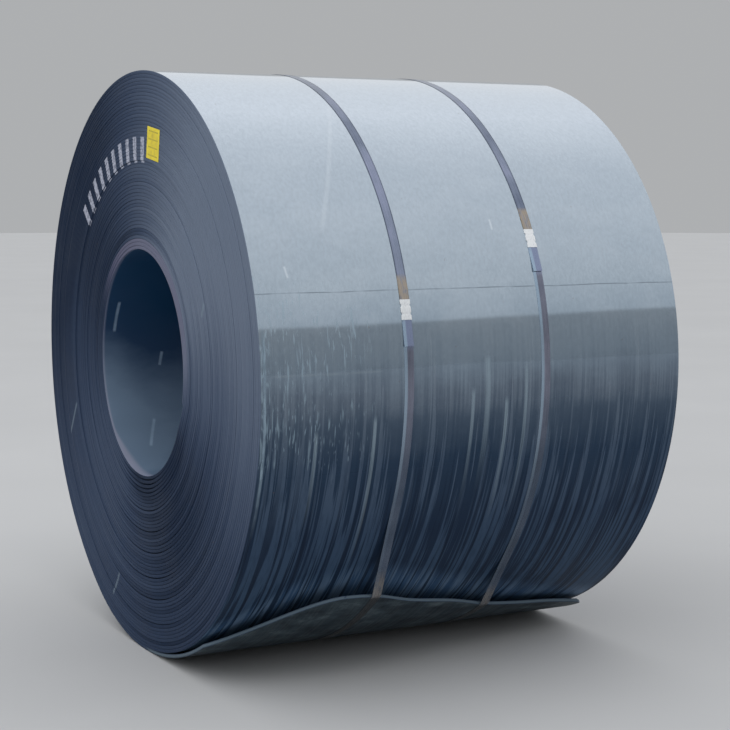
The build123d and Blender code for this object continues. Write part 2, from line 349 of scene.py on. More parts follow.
def strip_sections():
    """Turns counted to each section of the strip, with the near and far limits of the tongue."""
    body = []
    for number in range(TURNS):
        count = round(2 * math.pi * (BORE_RADIUS + number * STRIP_THICKNESS) / CHORD)
        body.append(number + np.arange(count) / count)
    body = np.concatenate(body)
    tongue_start = SPRUNG_FROM + TAIL_LOW_ANGLE / 360
    body = body[body < tongue_start - 0.0005]
    peak = max(TAIL_EDGE, key=lambda point: point[1])[0]
    near_side = peak * (1 - np.linspace(1, 0, TONGUE_NEAR_POINTS) ** TONGUE_CROWDING)
    from_far = (STRIP_WIDTH - peak) * (1 - np.linspace(1, 0, TONGUE_FAR_POINTS) ** TONGUE_CROWDING)
    far_side = STRIP_WIDTH - from_far
    angles = np.unique(np.concatenate([edge_angle(near_side), edge_angle(far_side)]))
    angles = angles[(angles > TAIL_LOW_ANGLE) & (angles < TAIL_TIP_ANGLE - 0.002)]
    near = np.interp(angles, edge_angle(near_side), near_side)
    far = np.interp(angles, edge_angle(far_side), far_side)
    tongue = SPRUNG_FROM + angles / 360
    near = np.concatenate([np.full(len(body), -STRIP_WIDTH), near])
    far = np.concatenate([np.full(len(body), 2 * STRIP_WIDTH), far])
    return np.concatenate([body, tongue]), NEAR_END + near, NEAR_END + far


def make_strip():
    """The whole strip as one ribbon, wound from the head end in the bore to the tongue."""
    turn, near_limit, far_limit = strip_sections()
    angle, inner, outer, raised, shift = winding(turn)
    near = np.maximum(NEAR_END - shift, near_limit)
    far = np.minimum(FAR_END - shift, far_limit)
    profile = [(1, inset, height) for inset, height in EDGE_PROFILE]
    profile += [(-1, inset, height) for inset, height in reversed(EDGE_PROFILE)]
    half = (far - near) / 2
    columns = []
    for side, inset, height in profile:
        inset = np.minimum(inset * MM, half * 0.9)
        x = near + inset if side > 0 else far - inset
        radius = inner + (outer - inner) * height / EDGE_PROFILE[-1][1]
        columns.append(polar(x, radius, angle, raised))
    points = np.stack(columns, 1).reshape(-1, 3)
    quads, ends = ribbon_faces(len(turn), len(profile))
    piece = new_piece("wound_strip", points, quads + ends, "mill_scale_steel", ["coil"],
                      scale_material(), edge_material(), bore_material())
    crowns = np.tile(EDGE_CROWNS, 2 * len(turn))
    for name, values in (("turn", np.repeat(turn, len(profile))), ("crown", crowns)):
        attribute = piece.data.attributes.new(name, "FLOAT", "POINT")
        attribute.data.foreach_set("value", values.astype(np.float32))
    scale, edge, bore = range(3)
    in_profile = np.arange(len(quads)) % len(profile)
    section = np.arange(len(quads)) // len(profile)
    outer_face, inner_face = len(EDGE_PROFILE) - 1, len(profile) - 1
    material = np.full(len(quads) + len(ends), edge, np.int32)
    material[:-2][in_profile == outer_face] = scale
    material[:-2][in_profile == inner_face] = scale
    material[:-2][(in_profile == inner_face) & (turn[section] < BORE_TURNS)] = bore
    piece.data.polygons.foreach_set("material_index", material)


def strap_corner(tail_angle):
    """Radius and angle, about the axis, where a strap bends over the tail's edge."""
    turn = math.radians(tail_angle + STRAP_PAST_TAIL)
    front, down = TAIL_RADIUS * math.sin(turn), TAIL_RADIUS * math.cos(turn) - SPRING_BACK
    return math.hypot(front, down), math.degrees(math.atan2(front, down))


def strap_touch(tail_angle):
    """Angle at which a strap meets the turns again above the tail's edge."""
    radius, angle = strap_corner(tail_angle)
    return angle + math.degrees(math.acos(UNDER_TAIL_RADIUS / radius))


def strap_radius(angle, tail_angle):
    """Radius of a strap's underside, straight between the tail's edge and the turns above it."""
    folded = (angle + 180) % 360 - 180
    touch = strap_touch(tail_angle)
    slope = UNDER_TAIL_RADIUS / np.cos(np.radians(np.clip(touch - folded, 0, 80)))
    over_tail = np.minimum(slope, ray_to_circle(folded, -SPRING_BACK, 0, TAIL_RADIUS))
    return np.select([folded > touch, folded > 0], [UNDER_TAIL_RADIUS, over_tail], outline(angle))


def degrees_along(length):
    """Angle that a length takes up round the coil."""
    return math.degrees(length / UNDER_TAIL_RADIUS)


def crimp_bite(angle, seal_angle):
    """How far the crimps press the seal and the strap in from each side."""
    bite = np.zeros_like(angle)
    reach = math.sqrt(CRIMP_RADIUS ** 2 - (CRIMP_RADIUS - CRIMP_BITE) ** 2)
    from_seal = np.radians((angle - seal_angle + 180) % 360 - 180) * UNDER_TAIL_RADIUS
    for offset in (-CRIMP_SPACING / 2, CRIMP_SPACING / 2):
        depth = np.clip(1 - ((from_seal - offset) / reach) ** 2, 0, 1)
        bite = np.maximum(bite, CRIMP_BITE * depth)
    return bite


def strap_path(seal_angle, tail_angle):
    """Angles along a strap from its end under the seal, down and round the coil, to its
    free end below the seal, with its height over the coil."""
    half_seal = degrees_along(SEAL_LENGTH / 2)
    under_end = seal_angle + half_seal + degrees_along(UNDER_END)
    seal_foot = seal_angle - half_seal - 360
    free_end = seal_foot - degrees_along(FREE_END)
    under_seal = seal_angle + np.linspace(-half_seal, half_seal, STRAP_SEAL_POINTS)
    plain = np.arange(free_end, under_end, STRAP_STEP)
    bends = [strap_corner(tail_angle)[1], strap_touch(tail_angle), under_end]
    angle = np.unique(np.concatenate([plain, bends, under_seal, under_seal - 360]))[::-1]
    lap_start = under_end - 360
    rise = np.interp(angle, [lap_start, lap_start + degrees_along(LAP_RAMP)], [STRAP_THICKNESS, 0])
    curl = END_LIFT * np.clip((seal_foot - angle) / (seal_foot - free_end), 0, 1) ** 2
    return angle, rise + curl


def sweep(name, columns, slot, replaced, material):
    """Piece swept from columns of points, one for each corner of its profile."""
    points = np.stack(columns, 1)
    quads, ends = ribbon_faces(*points.shape[:2])
    new_piece(name, points.reshape(-1, 3), quads + ends, slot, [replaced], material)


def make_strap(side):
    """Strap round the coil and over the tongue, lapped and pinched under its seal."""
    facts = STRAPS[side]
    angle, height = strap_path(facts["seal_angle"], facts["tail_angle"])
    under = strap_radius(angle, facts["tail_angle"]) + height
    middle = NEAR_END + facts["from_end"]
    half = STRAP_WIDTH / 2 - crimp_bite(angle, facts["seal_angle"])
    low, high = STRAP_LIFT, STRAP_THICKNESS - STRAP_THINNER
    shoulder = high - STRAP_CORNER
    corners = [(-1, 0, low), (-1, 0, shoulder), (-1, STRAP_CORNER, high),
               (1, STRAP_CORNER, high), (1, 0, shoulder), (1, 0, low)]
    columns = [polar(middle + way * (half - inset), under + up, angle) for way, inset, up in corners]
    sweep(f"strap_band_{side}", columns, "strap_steel", f"strap_{side}", strap_material(side))


def make_seal(side):
    """Seal folded over the lapped strap, pinched at its crimps."""
    facts = STRAPS[side]
    reach = degrees_along(SEAL_LENGTH / 2)
    angle = facts["seal_angle"] + np.linspace(-reach, reach, SEAL_POINTS)
    bite = crimp_bite(angle, facts["seal_angle"])
    middle = NEAR_END + facts["from_end"]
    half = STRAP_WIDTH / 2 + SEAL_SIDE_PLAY + SEAL_THICKNESS - bite
    under = 2 * STRAP_THICKNESS + 0.03 * MM
    top = 2 * STRAP_THICKNESS + SEAL_THICKNESS
    wall = SEAL_THICKNESS - 0.05 * MM
    outside = [(0, SEAL_LIFT, 0)] + [(inset, top - depth, dented) for inset, depth, dented in SEAL_ROUNDING]
    inside = [(wall, under, 0), (wall, SEAL_LIFT, 0)]
    columns = []
    for way, corners in ((-1, outside), (1, outside[::-1]), (1, inside), (-1, inside[::-1])):
        for inset, up, dented in corners:
            radius = UNDER_TAIL_RADIUS + up - dented * SEAL_DENT * bite
            columns.append(polar(middle + way * (half - inset), radius, angle))
    sweep(f"crimped_seal_{side}", columns, "seal_steel", f"seal_{side}", seal_material())


def make_label():
    """Thin label, a little askew, that ripples over the edges of the turns under it."""
    low, high = (np.array(corner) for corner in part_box("label"))
    middle = (low + high) / 2
    front, up = (np.linspace(-0.5, 0.5, LABEL_POINTS) * (high - low)[way] for way in (1, 2))
    lean = math.radians(LABEL_LEAN)

    def column(raised, along):
        y = middle[1] + front * math.cos(lean) - along * math.sin(lean)
        z = middle[2] + front * math.sin(lean) + along * math.cos(lean)
        radius = np.hypot(y, z - AXIS_HEIGHT)
        over_turns = 0.5 + 0.5 * np.cos(2 * np.pi * (radius - BORE_RADIUS) / STRIP_THICKNESS)
        return np.stack([low[0] + raised + (high[0] - low[0] - LABEL_PAPER) * over_turns, y, z], -1)

    columns = [column(0, along) for along in up] + [column(LABEL_PAPER, along) for along in up[::-1]]
    sweep("rippled_label", columns, "label", "label", label_material())


# Materials

class Shader:
    """A material with a Principled surface, whose nodes are added one call at a time."""

    def __init__(self, name):
        self.material = bpy.data.materials.new(name)
        self.material.use_nodes = True
        self.tree = self.material.node_tree
        self.surface = self.tree.nodes["Principled BSDF"]

    def feed(self, socket, value):
        if isinstance(value, bpy.types.NodeSocket):
            self.tree.links.new(value, socket)
        else:
            socket.default_value = value

    def node(self, kind, inputs, output=0, **settings):
        made = self.tree.nodes.new(kind)
        for setting, value in settings.items():
            setattr(made, setting, value)
        for socket, value in inputs.items():
            self.feed(made.inputs[socket], value)
        return made.outputs[output]

    def math(self, operation, *values):
        return self.node("ShaderNodeMath", dict(enumerate(values)), operation=operation)

    def minus(self, value, other):
        return self.math("SUBTRACT", value, other)

    def times(self, product, *values):
        for value in values:
            product = self.math("MULTIPLY", product, value)
        return product

    def plus(self, total, *shares):
        """A number with others added, each times its share."""
        for value, share in shares:
            total = self.math("MULTIPLY_ADD", value, share, total)
        return total

    def vary(self, value, *noises):
        """A number moved up and down by noises, each times its amount."""
        return self.plus(value, *((self.minus(noise, 0.5), amount) for noise, amount in noises))

    def place(self):
        """Place from the middle of the coil's axis."""
        here = self.node("ShaderNodeTexCoord", {}, output="Object")
        return self.node("ShaderNodeVectorMath", {0: here, 1: (0, 0, AXIS_HEIGHT)}, operation="SUBTRACT")

    def split(self, vector):
        parts = self.tree.nodes.new("ShaderNodeSeparateXYZ")
        self.feed(parts.inputs[0], vector)
        return parts.outputs

    def attribute(self, name):
        return self.node("ShaderNodeAttribute", {}, output="Fac", attribute_name=name)

    def noise(self, vector, scales, detail=2.0, rough=0.5):
        """Noise from about 0.25 to 0.75 with its own scale along each axis, per metre."""
        stretched = self.node("ShaderNodeVectorMath", {0: vector, 1: scales}, operation="MULTIPLY")
        return self.node("ShaderNodeTexNoise", {"Vector": stretched, "Scale": 1.0, "Detail": detail,
                                                "Roughness": rough})

    def noise_along(self, value, scale, detail=2.0):
        inputs = {"W": self.times(value, scale), "Scale": 1.0, "Detail": detail}
        return self.node("ShaderNodeTexNoise", inputs, noise_dimensions="1D")

    def between(self, value, low, high, to_low=0.0, to_high=1.0):
        """Smooth step from one number at low to another at high."""
        inputs = {"Value": value, "From Min": low, "From Max": high, "To Min": to_low, "To Max": to_high}
        return self.node("ShaderNodeMapRange", inputs, interpolation_type="SMOOTHSTEP")

    def band(self, value, middle, half_width, soft):
        """1 within a half width of a middle, and 0 a little outside it."""
        away = self.math("ABSOLUTE", self.minus(value, middle))
        return self.between(away, half_width + soft, half_width)

    def band_between(self, value, low, high, soft):
        """1 between two numbers, and 0 a little outside them."""
        return self.band(value, (low + high) / 2, (high - low) / 2, soft)

    def angle(self, y, z):
        """Angle from the bottom, rising to 180 on the seen side and falling to -180 on the other."""
        return self.math("DEGREES", self.math("ARCTAN2", self.times(y, -1.0), self.times(z, -1.0)))

    def way(self, y, z):
        """Direction from the axis in radians, from the seen side towards the top."""
        return self.math("ARCTAN2", z, self.times(y, -1.0))

    def mix(self, part, first, second):
        inputs = {0: part, 6: first, 7: second}
        return self.node("ShaderNodeMix", inputs, output=2, data_type="RGBA")

    def cover(self, colour, over, *parts):
        """A colour with another over it, by the product of its parts."""
        return self.mix(self.times(*parts), colour, over)

    def ramp(self, value, *stops):
        made = self.tree.nodes.new("ShaderNodeValToRGB")
        self.feed(made.inputs[0], value)
        points = made.color_ramp.elements
        while len(points) < len(stops):
            points.new(0.5)
        for point, (position, colour) in zip(points, stops):
            point.position = position
            point.color = colour
        return made.outputs["Color"]

    def bump(self, height, distance, normal=None):
        inputs = {"Height": height, "Distance": distance, "Strength": 1.0}
        if normal:
            inputs["Normal"] = normal
        return self.node("ShaderNodeBump", inputs)

    def finish(self, **sockets):
        for socket, value in sockets.items():
            self.feed(self.surface.inputs[socket.replace("_", " ")], value)
        return self.material


def rgb(red, green, blue):
    """Linear colour from one given as it shows on a screen, 0 to 255."""
    def linear(value):
        value /= 255
        return value / 12.92 if value <= 0.04045 else ((value + 0.055) / 1.055) ** 2.4
    return (linear(red), linear(green), linear(blue), 1.0)


def scale_material():
    """Mill scale of the outer surface: smooth and blue-grey, streaked towards the bottom, with painted
    shade that darkens it towards the bottom, painted highlights on top and beside the rim, and a painted
    shade line and a painted highlight line along creases.
    """
    s = Shader("mill_scale")
    place = s.place()
    x, y, z = s.split(place)
    angle = s.angle(y, z)
    up = s.math("ABSOLUTE", angle)
    from_rim = s.minus(x, NEAR_END)
    streaks = s.noise(place, (75, 1.4, 1.4), 4, 0.6)
    fine = s.noise(place, (260, 5, 5), 2)
    mottle = s.noise(place, (4, 7, 7), 5, 0.6)
    drips = s.times(rubbed_streaks(s, place, up), s.between(up, 86, 66, 0.55, 1.0))
    unevenness = (mottle, 0.04), (streaks, 0.03), (fine, 0.02)
    colour = scale_colour(s, place, angle, up, from_rim, drips, unevenness)
    brushed = s.times(s.between(streaks, 0.40, 0.62), s.band_between(up, 86, 99, 3.0))
    colour = s.cover(colour, rgb(166, 180, 192), brushed, 0.11)
    mottled = s.times(s.between(mottle, 0.40, 0.62), s.between(up, 98, 101))
    colour = s.cover(colour, rgb(214, 222, 230), mottled, 0.08)
    pale = pale_streaks(s, angle, from_rim, fine)
    colour = s.mix(pale, colour, rgb(150, 168, 180))
    # Painted highlight along the rim
    colour = s.cover(colour, rgb(144, 164, 180), *rim_highlight(s, place, up, from_rim))
    fleck = pale_flecks(s, place, up, from_rim)
    colour = s.cover(colour, rgb(154, 176, 190), fleck, 0.5)
    crease, faint_crease_highlight = crease_shade_lines(s, place, angle, from_rim)
    # Painted shade along the crease, and a painted highlight along the fainter one
    colour = s.mix(crease, colour, rgb(70, 80, 92))
    colour = s.mix(faint_crease_highlight, colour, rgb(150, 164, 174))
    scratches = scratches_between(s, from_rim, angle, SIDE_SCRATCHES, 8 * MM)
    colour = s.cover(colour, rgb(224, 231, 238), scratches, 0.15)
    dashes = scratches_between(s, from_rim, angle, SIDE_DASHES, 4 * MM)
    colour = s.cover(colour, rgb(214, 222, 230), dashes, 0.5)
    rust = s.times(s.between(s.noise(place, (60, 45, 45), 4, 0.7), 0.69, 0.78), 0.5)
    colour = s.mix(rust, colour, rgb(122, 98, 76))
    turn = s.attribute("turn")
    colour = s.mix(s.between(turn, SPRUNG_FROM - 0.03, SPRUNG_FROM + 0.03), colour, tail_colour(s, place))
    covered = s.between(turn, SPRUNG_FROM - 1, SPRUNG_FROM - 1.005)
    # The walls of hidden turns, seen at the steps of the end faces, take the end faces' painted sheen.
    colour = s.mix(covered, colour, edge_colour(s, s.math("MAXIMUM", end_sheen(s, y, z), 0.33)))
    dull = s.math("ADD", s.times(drips, 0.5), s.math("MAXIMUM", fleck, pale))
    dull = s.math("MAXIMUM", dull, covered)
    worn_low = s.between(up, 92, 58)
    metallic = s.plus(0.8, (s.math("MINIMUM", s.math("ADD", dull, rust), 1.0), -0.4))
    metallic = s.times(metallic, s.plus(1.0, (worn_low, -0.8)), s.minus(1.0, covered))
    roughness = s.plus(0.06, (s.math("MAXIMUM", worn_low, covered), 0.40), (dull, 0.2))
    waves = s.bump(s.noise(place, (1.6, 4, 4), 1), 1.5 * MM)
    return s.finish(Base_Color=colour, Metallic=metallic, Roughness=roughness,
                    Normal=s.bump(fine, 0.03 * MM, waves), Specular_IOR_Level=0.12)


def scale_colour(s, place, angle, up, from_rim, drips, unevenness):
    """Tones of the scale by height, as painted shade low down and a painted highlight on top, with painted
    light in the shadow above the tongue, with specks, and with its pale and dark streaks low down.
    """
    uneven = s.times(s.vary(0.0, *unevenness), s.between(up, 97, 104, 1.0, 0.4))
    half_turn = s.math("DIVIDE", up, 180.0)
    above_tongue = s.minus(angle, tongue_edge(s, from_rim))
    # Painted light: the scale is lightened in the real shadow just above the tongue's edge.
    painted_gap_light = s.times(s.between(above_tongue, 7.0, 0.5), s.between(angle, 15, 25), 0.7)
    # Painted shade and highlight: the scale's tone by height is darkened low down and paled on top.
    colour = s.ramp(s.math("ADD", half_turn, uneven), *SCALE_TONES_WITH_PAINTED_SHADE)
    colour = s.mix(painted_gap_light, colour, (0.062, 0.130, 0.250, 1))
    specks = s.noise(place, (110, 60, 60), 3, 0.7)
    colour = s.mix(s.between(specks, 0.3, 0.7, 0.0, 0.10), colour, (0.02, 0.03, 0.05, 1))
    # The rubbed streaks also take painted shade towards the bottom and lighter tones higher up.
    rubbed = s.mix(painted_gap_light, s.ramp(half_turn, *RUBBED_TONES_WITH_PAINTED_SHADE), (0.147, 0.226, 0.340, 1))
    colour = s.mix(drips, colour, rubbed)
    dark = s.between(s.noise(place, (110, 1.8, 1.8), 2), 0.54, 0.60)
    return s.cover(colour, (0.006, 0.015, 0.036, 1), dark, s.between(up, 84, 56, 0.0, 0.8))


def tongue_edge(s, from_rim):
    """Angle of the tongue's edge about the axis at a distance from the rim."""
    stops = []
    for at, angle in TAIL_EDGE[::2]:
        part = strap_corner(angle)[1] / 90
        stops.append((at / STRIP_WIDTH, (part, part, part, 1)))
    edge = s.ramp(s.math("DIVIDE", from_rim, STRIP_WIDTH), *stops)
    return s.times(s.split(edge)[0], 90.0)


def rubbed_streaks(s, place, up):
    """Streaks of rubbed scale that start here and there below the middle and run to the bottom, 0 to 1."""
    climb = s.math("MAXIMUM", s.math("DIVIDE", s.minus(up, STREAKS_FULL), STREAKS_SPAN), 0.0)
    limit = s.plus(0.49, (s.times(climb, climb), 0.21))
    wide = s.minus(s.noise(place, (50, 1.1, 1.1), 2, 0.5), limit)
    thin = s.minus(s.noise(place, (130, 1.5, 1.5), 2, 0.5), limit)
    drips = s.math("MAXIMUM", s.between(wide, 0.0, 0.03), s.between(thin, 0.03, 0.06, 0.0, 0.8))
    return s.times(drips, s.between(s.noise(place, (110, 16, 16), 3), 0.3, 0.55, 0.65, 1.0))


def pale_streaks(s, angle, from_rim, worn):
    """A few longer pale streaks on the seen side, which fade towards their foot."""
    pale = 0.0
    for at, width, top, foot in PALE_STREAKS:
        along = s.times(s.between(angle, top + 1, top - 1), s.between(angle, foot, top, 0.0, 0.6))
        pale = s.math("MAXIMUM", pale, s.times(s.band(from_rim, at, width / 2, 4 * MM), along))
    return s.times(pale, s.between(worn, 0.3, 0.6, 0.5, 1.0))


def rim_highlight(s, place, up, from_rim):
    """A painted highlight: a pale uneven line beside the rim, where its rounded edge would catch the light,
    about the middle of the side, as parts to multiply.
    """
    wiggle = s.plus(from_rim, (s.noise(place, (0, 7, 7), 2), 8 * MM))
    line = s.band(wiggle, RIM_HIGHLIGHT + 4 * MM, 2 * MM, 5 * MM)
    patchy = s.between(s.noise(place, (20, 18, 18), 2), 0.35, 0.6, 0.55, 0.85)
    return line, s.times(s.between(up, 60, 80), s.between(up, 103, 97)), patchy


def tail_colour(s, place):
    """Dull dark grey of the tongue, with paler blotches."""
    blotches = s.noise(place, (9, 16, 16), 5, 0.7)
    return s.ramp(blotches, (0.35, rgb(34, 44, 53)), (0.55, rgb(57, 70, 78)), (0.70, rgb(93, 107, 113)))


def pale_flecks(s, place, up, from_rim):
    """Short soft dashes of pale scuffing about the middle of the side, most of them by the rim."""
    zone = s.band_between(up, 83, 101, 14.0)
    by_rim = s.between(from_rim, 0.050, 0.015, 0.0, 0.04)
    wanted = s.times(s.math("ADD", by_rim, s.between(from_rim, 0.50, 0.20, 0.0, 0.05)), zone)
    long = s.noise(place, (135, 12, 12), 1, 0.5)
    short = s.noise(place, (150, 30, 30), 1, 0.5)
    lifted = s.vary(s.times(wanted, 1.6), (s.noise(place, (12, 8, 8), 1), 0.18))
    longer = s.between(s.math("ADD", long, lifted), 0.69, 0.83)
    shorter = s.between(s.math("ADD", short, lifted), 0.69, 0.85, 0.0, 0.9)
    return s.times(s.math("MAXIMUM", longer, shorter), s.between(wanted, 0.0, 0.03))


def crease_shade_lines(s, place, angle, from_rim):
    """A cross crease of the strip right across the seen side, drawn as a dark line of painted shade, and a
    fainter one near the rim, drawn as a pale line of painted highlight.
    """
    wobbly = s.math("ADD", angle, s.plus(-0.25, (s.noise(place, (5, 0, 0), 3), 0.5)))
    patchy = s.between(s.noise(place, (14, 3, 3), 2), 0.3, 0.6, 0.15, 0.55)
    crease = s.band(wobbly, CREASE_ANGLE, 0.04, 0.10)
    faint = s.band(wobbly, FAINT_CREASE_ANGLE, 0.10, 0.15)
    faint = s.times(faint, s.band_between(from_rim, 0.06, 0.38, 0.03))
    return s.times(crease, patchy), s.times(faint, s.times(patchy, 0.7))


def strokes(s, right, up, ends, half_width):
    """Soft straight strokes between pairs of points of a flat surface, 0 to 1."""
    drawn = 0.0
    for (right_0, up_0), (right_1, up_1) in ends:
        length = math.hypot(right_1 - right_0, up_1 - up_0)
        run, rise = (right_1 - right_0) / length, (up_1 - up_0) / length
        from_right = s.minus(right, right_0)
        from_up = s.minus(up, up_0)
        along = s.plus(s.times(from_right, run), (from_up, rise))
        across = s.plus(s.times(from_right, -rise), (from_up, run))
        stroke = s.times(s.band(across, 0.0, half_width / 3, half_width),
                         s.band_between(along, length * 0.1, length * 0.9, length * 0.1))
        drawn = s.math("MAXIMUM", drawn, stroke)
    return drawn


def scratches_between(s, from_rim, angle, ends, half_width, radius=UNDER_TAIL_RADIUS):
    """Straight scratches on a round surface, whose ends are distances from the rim and angles."""
    flat = [[(place, math.radians(turned) * radius) for place, turned in pair] for pair in ends]
    return strokes(s, from_rim, s.times(angle, math.radians(1) * radius), flat, half_width)


def edge_material():
    """Mill edges of the strip, which show as rings on the ends of the coil, with a painted sheen by
    direction, painted shade in the grooves between turns and in bands low down, and a painted highlight on
    the turns by the bore.
    """
    s = Shader("strip_edges")
    place = s.place()
    x, y, z = s.split(place)
    angle = s.angle(y, z)
    turn = s.attribute("turn")
    crown = s.attribute("crown")
    patches = s.noise(place, (1.5, 4, 4), 4, 0.6)
    grain = s.noise(place, (60, 60, 60), 3)
    # Painted highlight on the turns next to the bore, strongest towards the top, tinted lilac where it is
    # used
    bore_ring_highlight = s.times(s.between(turn, 3.3, 2.6), s.between(way_lobe(s, y, z, 70.0), 0.5, 0.9))
    # The tone starts from the painted sheen of the end faces, varied by rings, patches and grain
    tone = s.vary(end_sheen(s, y, z), (s.noise_along(turn, 1.37, 3), 0.30), (patches, 0.22), (grain, 0.10))
    tone = s.plus(tone, *edge_shades(s, y, z, angle, turn), (bore_ring_highlight, 0.35))
    beside = s.times(s.band(turn, 4.9, 0.5, 0.5), way_lobe(s, y, z, 90.0))
    tone = s.plus(tone, (beside, -0.25))
    colour = s.cover(edge_colour(s, tone), rgb(115, 109, 134), bore_ring_highlight, 0.5)
    # Painted shade in the grooves between turns, deeper in dark arcs between the slack turns low down
    along = s.node("ShaderNodeCombineXYZ", {0: s.times(turn, 1.3), 1: s.times(angle, 0.022)})
    slack_arc_shade = s.times(s.between(s.noise(along, (1, 1, 1), 2), 0.46, 0.62), s.band(angle, 0.0, 75.0, 60.0))
    groove_shade = s.plus(s.between(s.noise_along(turn, 2.9, 2), 0.40, 0.60, 0.96, 0.72), (slack_arc_shade, -0.4))
    colour = s.mix(s.between(crown, 0.0, 0.5, groove_shade, 1.0), rgb(19, 28, 45), colour)
    tail_edge = s.between(turn, SPRUNG_FROM, SPRUNG_FROM + 0.01, 0.0, 0.8)
    colour = s.cover(colour, rgb(105, 120, 128), tail_edge, crown)
    scuffed = strokes(s, s.times(y, -1.0), z, FACE_SCRATCHES, 7 * MM)
    colour = s.cover(colour, rgb(141, 158, 171), scuffed, s.between(x, 0.1, -0.1, 0.0, 0.4))
    colour = s.mix(painted_marks(s, x, y, z, grain), colour, rgb(198, 202, 218))
    rust = s.between(s.noise(place, (45, 45, 45), 4, 0.7), 0.69, 0.78)
    colour = s.cover(colour, rgb(111, 87, 70), rust, 0.4)
    return s.finish(Base_Color=colour, Metallic=s.between(tone, 0.2, 0.9, 0.05, 0.35),
                    Roughness=s.between(patches, 0.3, 0.7, 0.46, 0.62),
                    Normal=s.bump(grain, 0.15 * MM), Specular_IOR_Level=0.05)


def edge_shades(s, y, z, angle, turn):
    """Painted shade and sheen of the end faces, and their dustier part, each with its share of the tone:
    painted shade in rings low down and below the bore, and a painted sheen by direction on the turns that
    stand out.
    """
    groups = s.noise_along(turn, 0.41, 2)
    # Painted shade: rings low down and the turns below the bore are darkened; the group of turns that
    # stands out gets a painted sheen by direction
    low_ring_shade = s.times(s.between(groups, 0.48, 0.62), s.band(angle, 20.0, 25.0, 40.0))
    below_bore_shade = s.times(s.between(turn, 9.0, 5.0), s.band(angle, 24.0, 15.0, 32.0))
    dusty = s.times(s.between(turn, 36.0, 30.0), s.band(angle, -8.0, 10.0, 35.0))
    leaning_sheen = s.plus(-0.17, (way_lobe(s, y, z, -30.0), 0.34))
    return (low_ring_shade, -0.14), (below_bore_shade, -0.24), (dusty, 0.10), (s.between(turn, 24.0, 38.0), leaning_sheen)


def edge_colour(s, tone):
    """Blue-grey of the strip's edges, from dark to light."""
    return s.ramp(tone, (0.0, rgb(26, 41, 64)), (0.33, rgb(55, 69, 93)), (0.67, rgb(85, 98, 120)),
                  (1.0, rgb(113, 125, 144)))


def way_lobe(s, y, z, middle):
    """1 in one direction from the axis, falling to 0 opposite it."""
    return s.plus(0.5, (s.math("COSINE", s.minus(s.way(y, z), math.radians(middle))), 0.5))


def end_sheen(s, y, z):
    """Broad light and shade of the ringed end faces by the direction from the axis."""
    way = s.minus(s.way(y, z), math.radians(SHEEN_ANGLE))
    return s.plus(SHEEN_MEAN, (s.math("COSINE", way), SHEEN_ROUND),
                  (s.math("COSINE", s.times(way, 2.0)), SHEEN_PAIRED))


def painted_marks(s, x, y, z, grain):
    """Row of plain painted bars over the top of the seen end face, from 0 to 1."""
    from_top = s.math("DEGREES", s.math("ARCTAN2", y, z))
    radius = s.math("SQRT", s.math("ADD", s.times(y, y), s.times(z, z)))
    pitches = s.math("DIVIDE", s.math("ADD", from_top, -MARK_FIRST), MARK_PITCH)
    nearest = s.math("MINIMUM", s.math("MAXIMUM", s.math("ROUND", pitches), 0.0), MARK_COUNT - 1.0)
    beside = s.times(s.math("ABSOLUTE", s.minus(pitches, nearest)), math.radians(MARK_PITCH) * MARK_RADIUS)
    along = s.math("ABSOLUTE", s.minus(radius, MARK_RADIUS))
    bar = s.times(s.between(beside, MARK_WIDTH / 2 + MARK_SOFT, MARK_WIDTH / 2 - MARK_SOFT),
                  s.between(along, MARK_LENGTH / 2 + MARK_SOFT, MARK_LENGTH / 2 - MARK_SOFT))
    near_end = s.between(x, 0.1, -0.1)
    return s.times(bar, near_end, s.between(grain, 0.36, 0.52, 0.35, 0.82))


def bore_material():
    """Inside of the first turn: dark blue scale with scuffs, painted darker as shade above and further in,
    with a painted pool of light low on the far side and a painted highlight on the lower lip of the bore's
    open end.
    """
    s = Shader("bore_scale")
    place = s.place()
    x, y, z = s.split(place)
    angle = s.angle(y, z)
    inside = s.minus(x, NEAR_END)
    mottle = s.noise(place, (3, 6, 6), 5, 0.6)
    deeper_shade = s.between(x, NEAR_END, NEAR_END + 0.26, 0.12, -0.12)
    # Painted shade and light: darker towards the top and further in, lighter low down and near the open end
    tone = s.math("ADD", s.vary(s.between(z, 0.38, -0.34, 0.05, 0.70), (mottle, 0.5)), deeper_shade)
    # A painted pool of light low on the far side of the wall
    tone = s.plus(tone, (s.band(angle, -55.0, 14.0, 58.0), 0.32))
    colour = s.ramp(tone, (0.1, rgb(33, 73, 108)), (0.5, rgb(51, 77, 110)), (0.95, rgb(124, 146, 170)))
    scuffs = scratches_between(s, inside, angle, BORE_SCRATCHES, 6 * MM, BORE_RADIUS)
    colour = s.cover(colour, rgb(166, 190, 212), scuffs, s.between(mottle, 0.35, 0.6, 0.5, 0.9))
    # Painted highlight on the lower lip of the bore's open end, tinted lilac
    reach = s.between(z, -0.24, -0.37, 11 * MM, 42 * MM)
    mouth_highlight = s.between(s.math("DIVIDE", inside, reach), 1.0, 0.35)
    colour = s.cover(colour, rgb(170, 174, 196), mouth_highlight, s.between(z, 0.1, -0.36, 0.40, 0.9))
    return s.finish(Base_Color=colour, Metallic=0.3, Specular_IOR_Level=0.25,
                    Roughness=s.between(mottle, 0.3, 0.7, 0.40, 0.55), Normal=s.bump(mottle, 0.5 * MM))


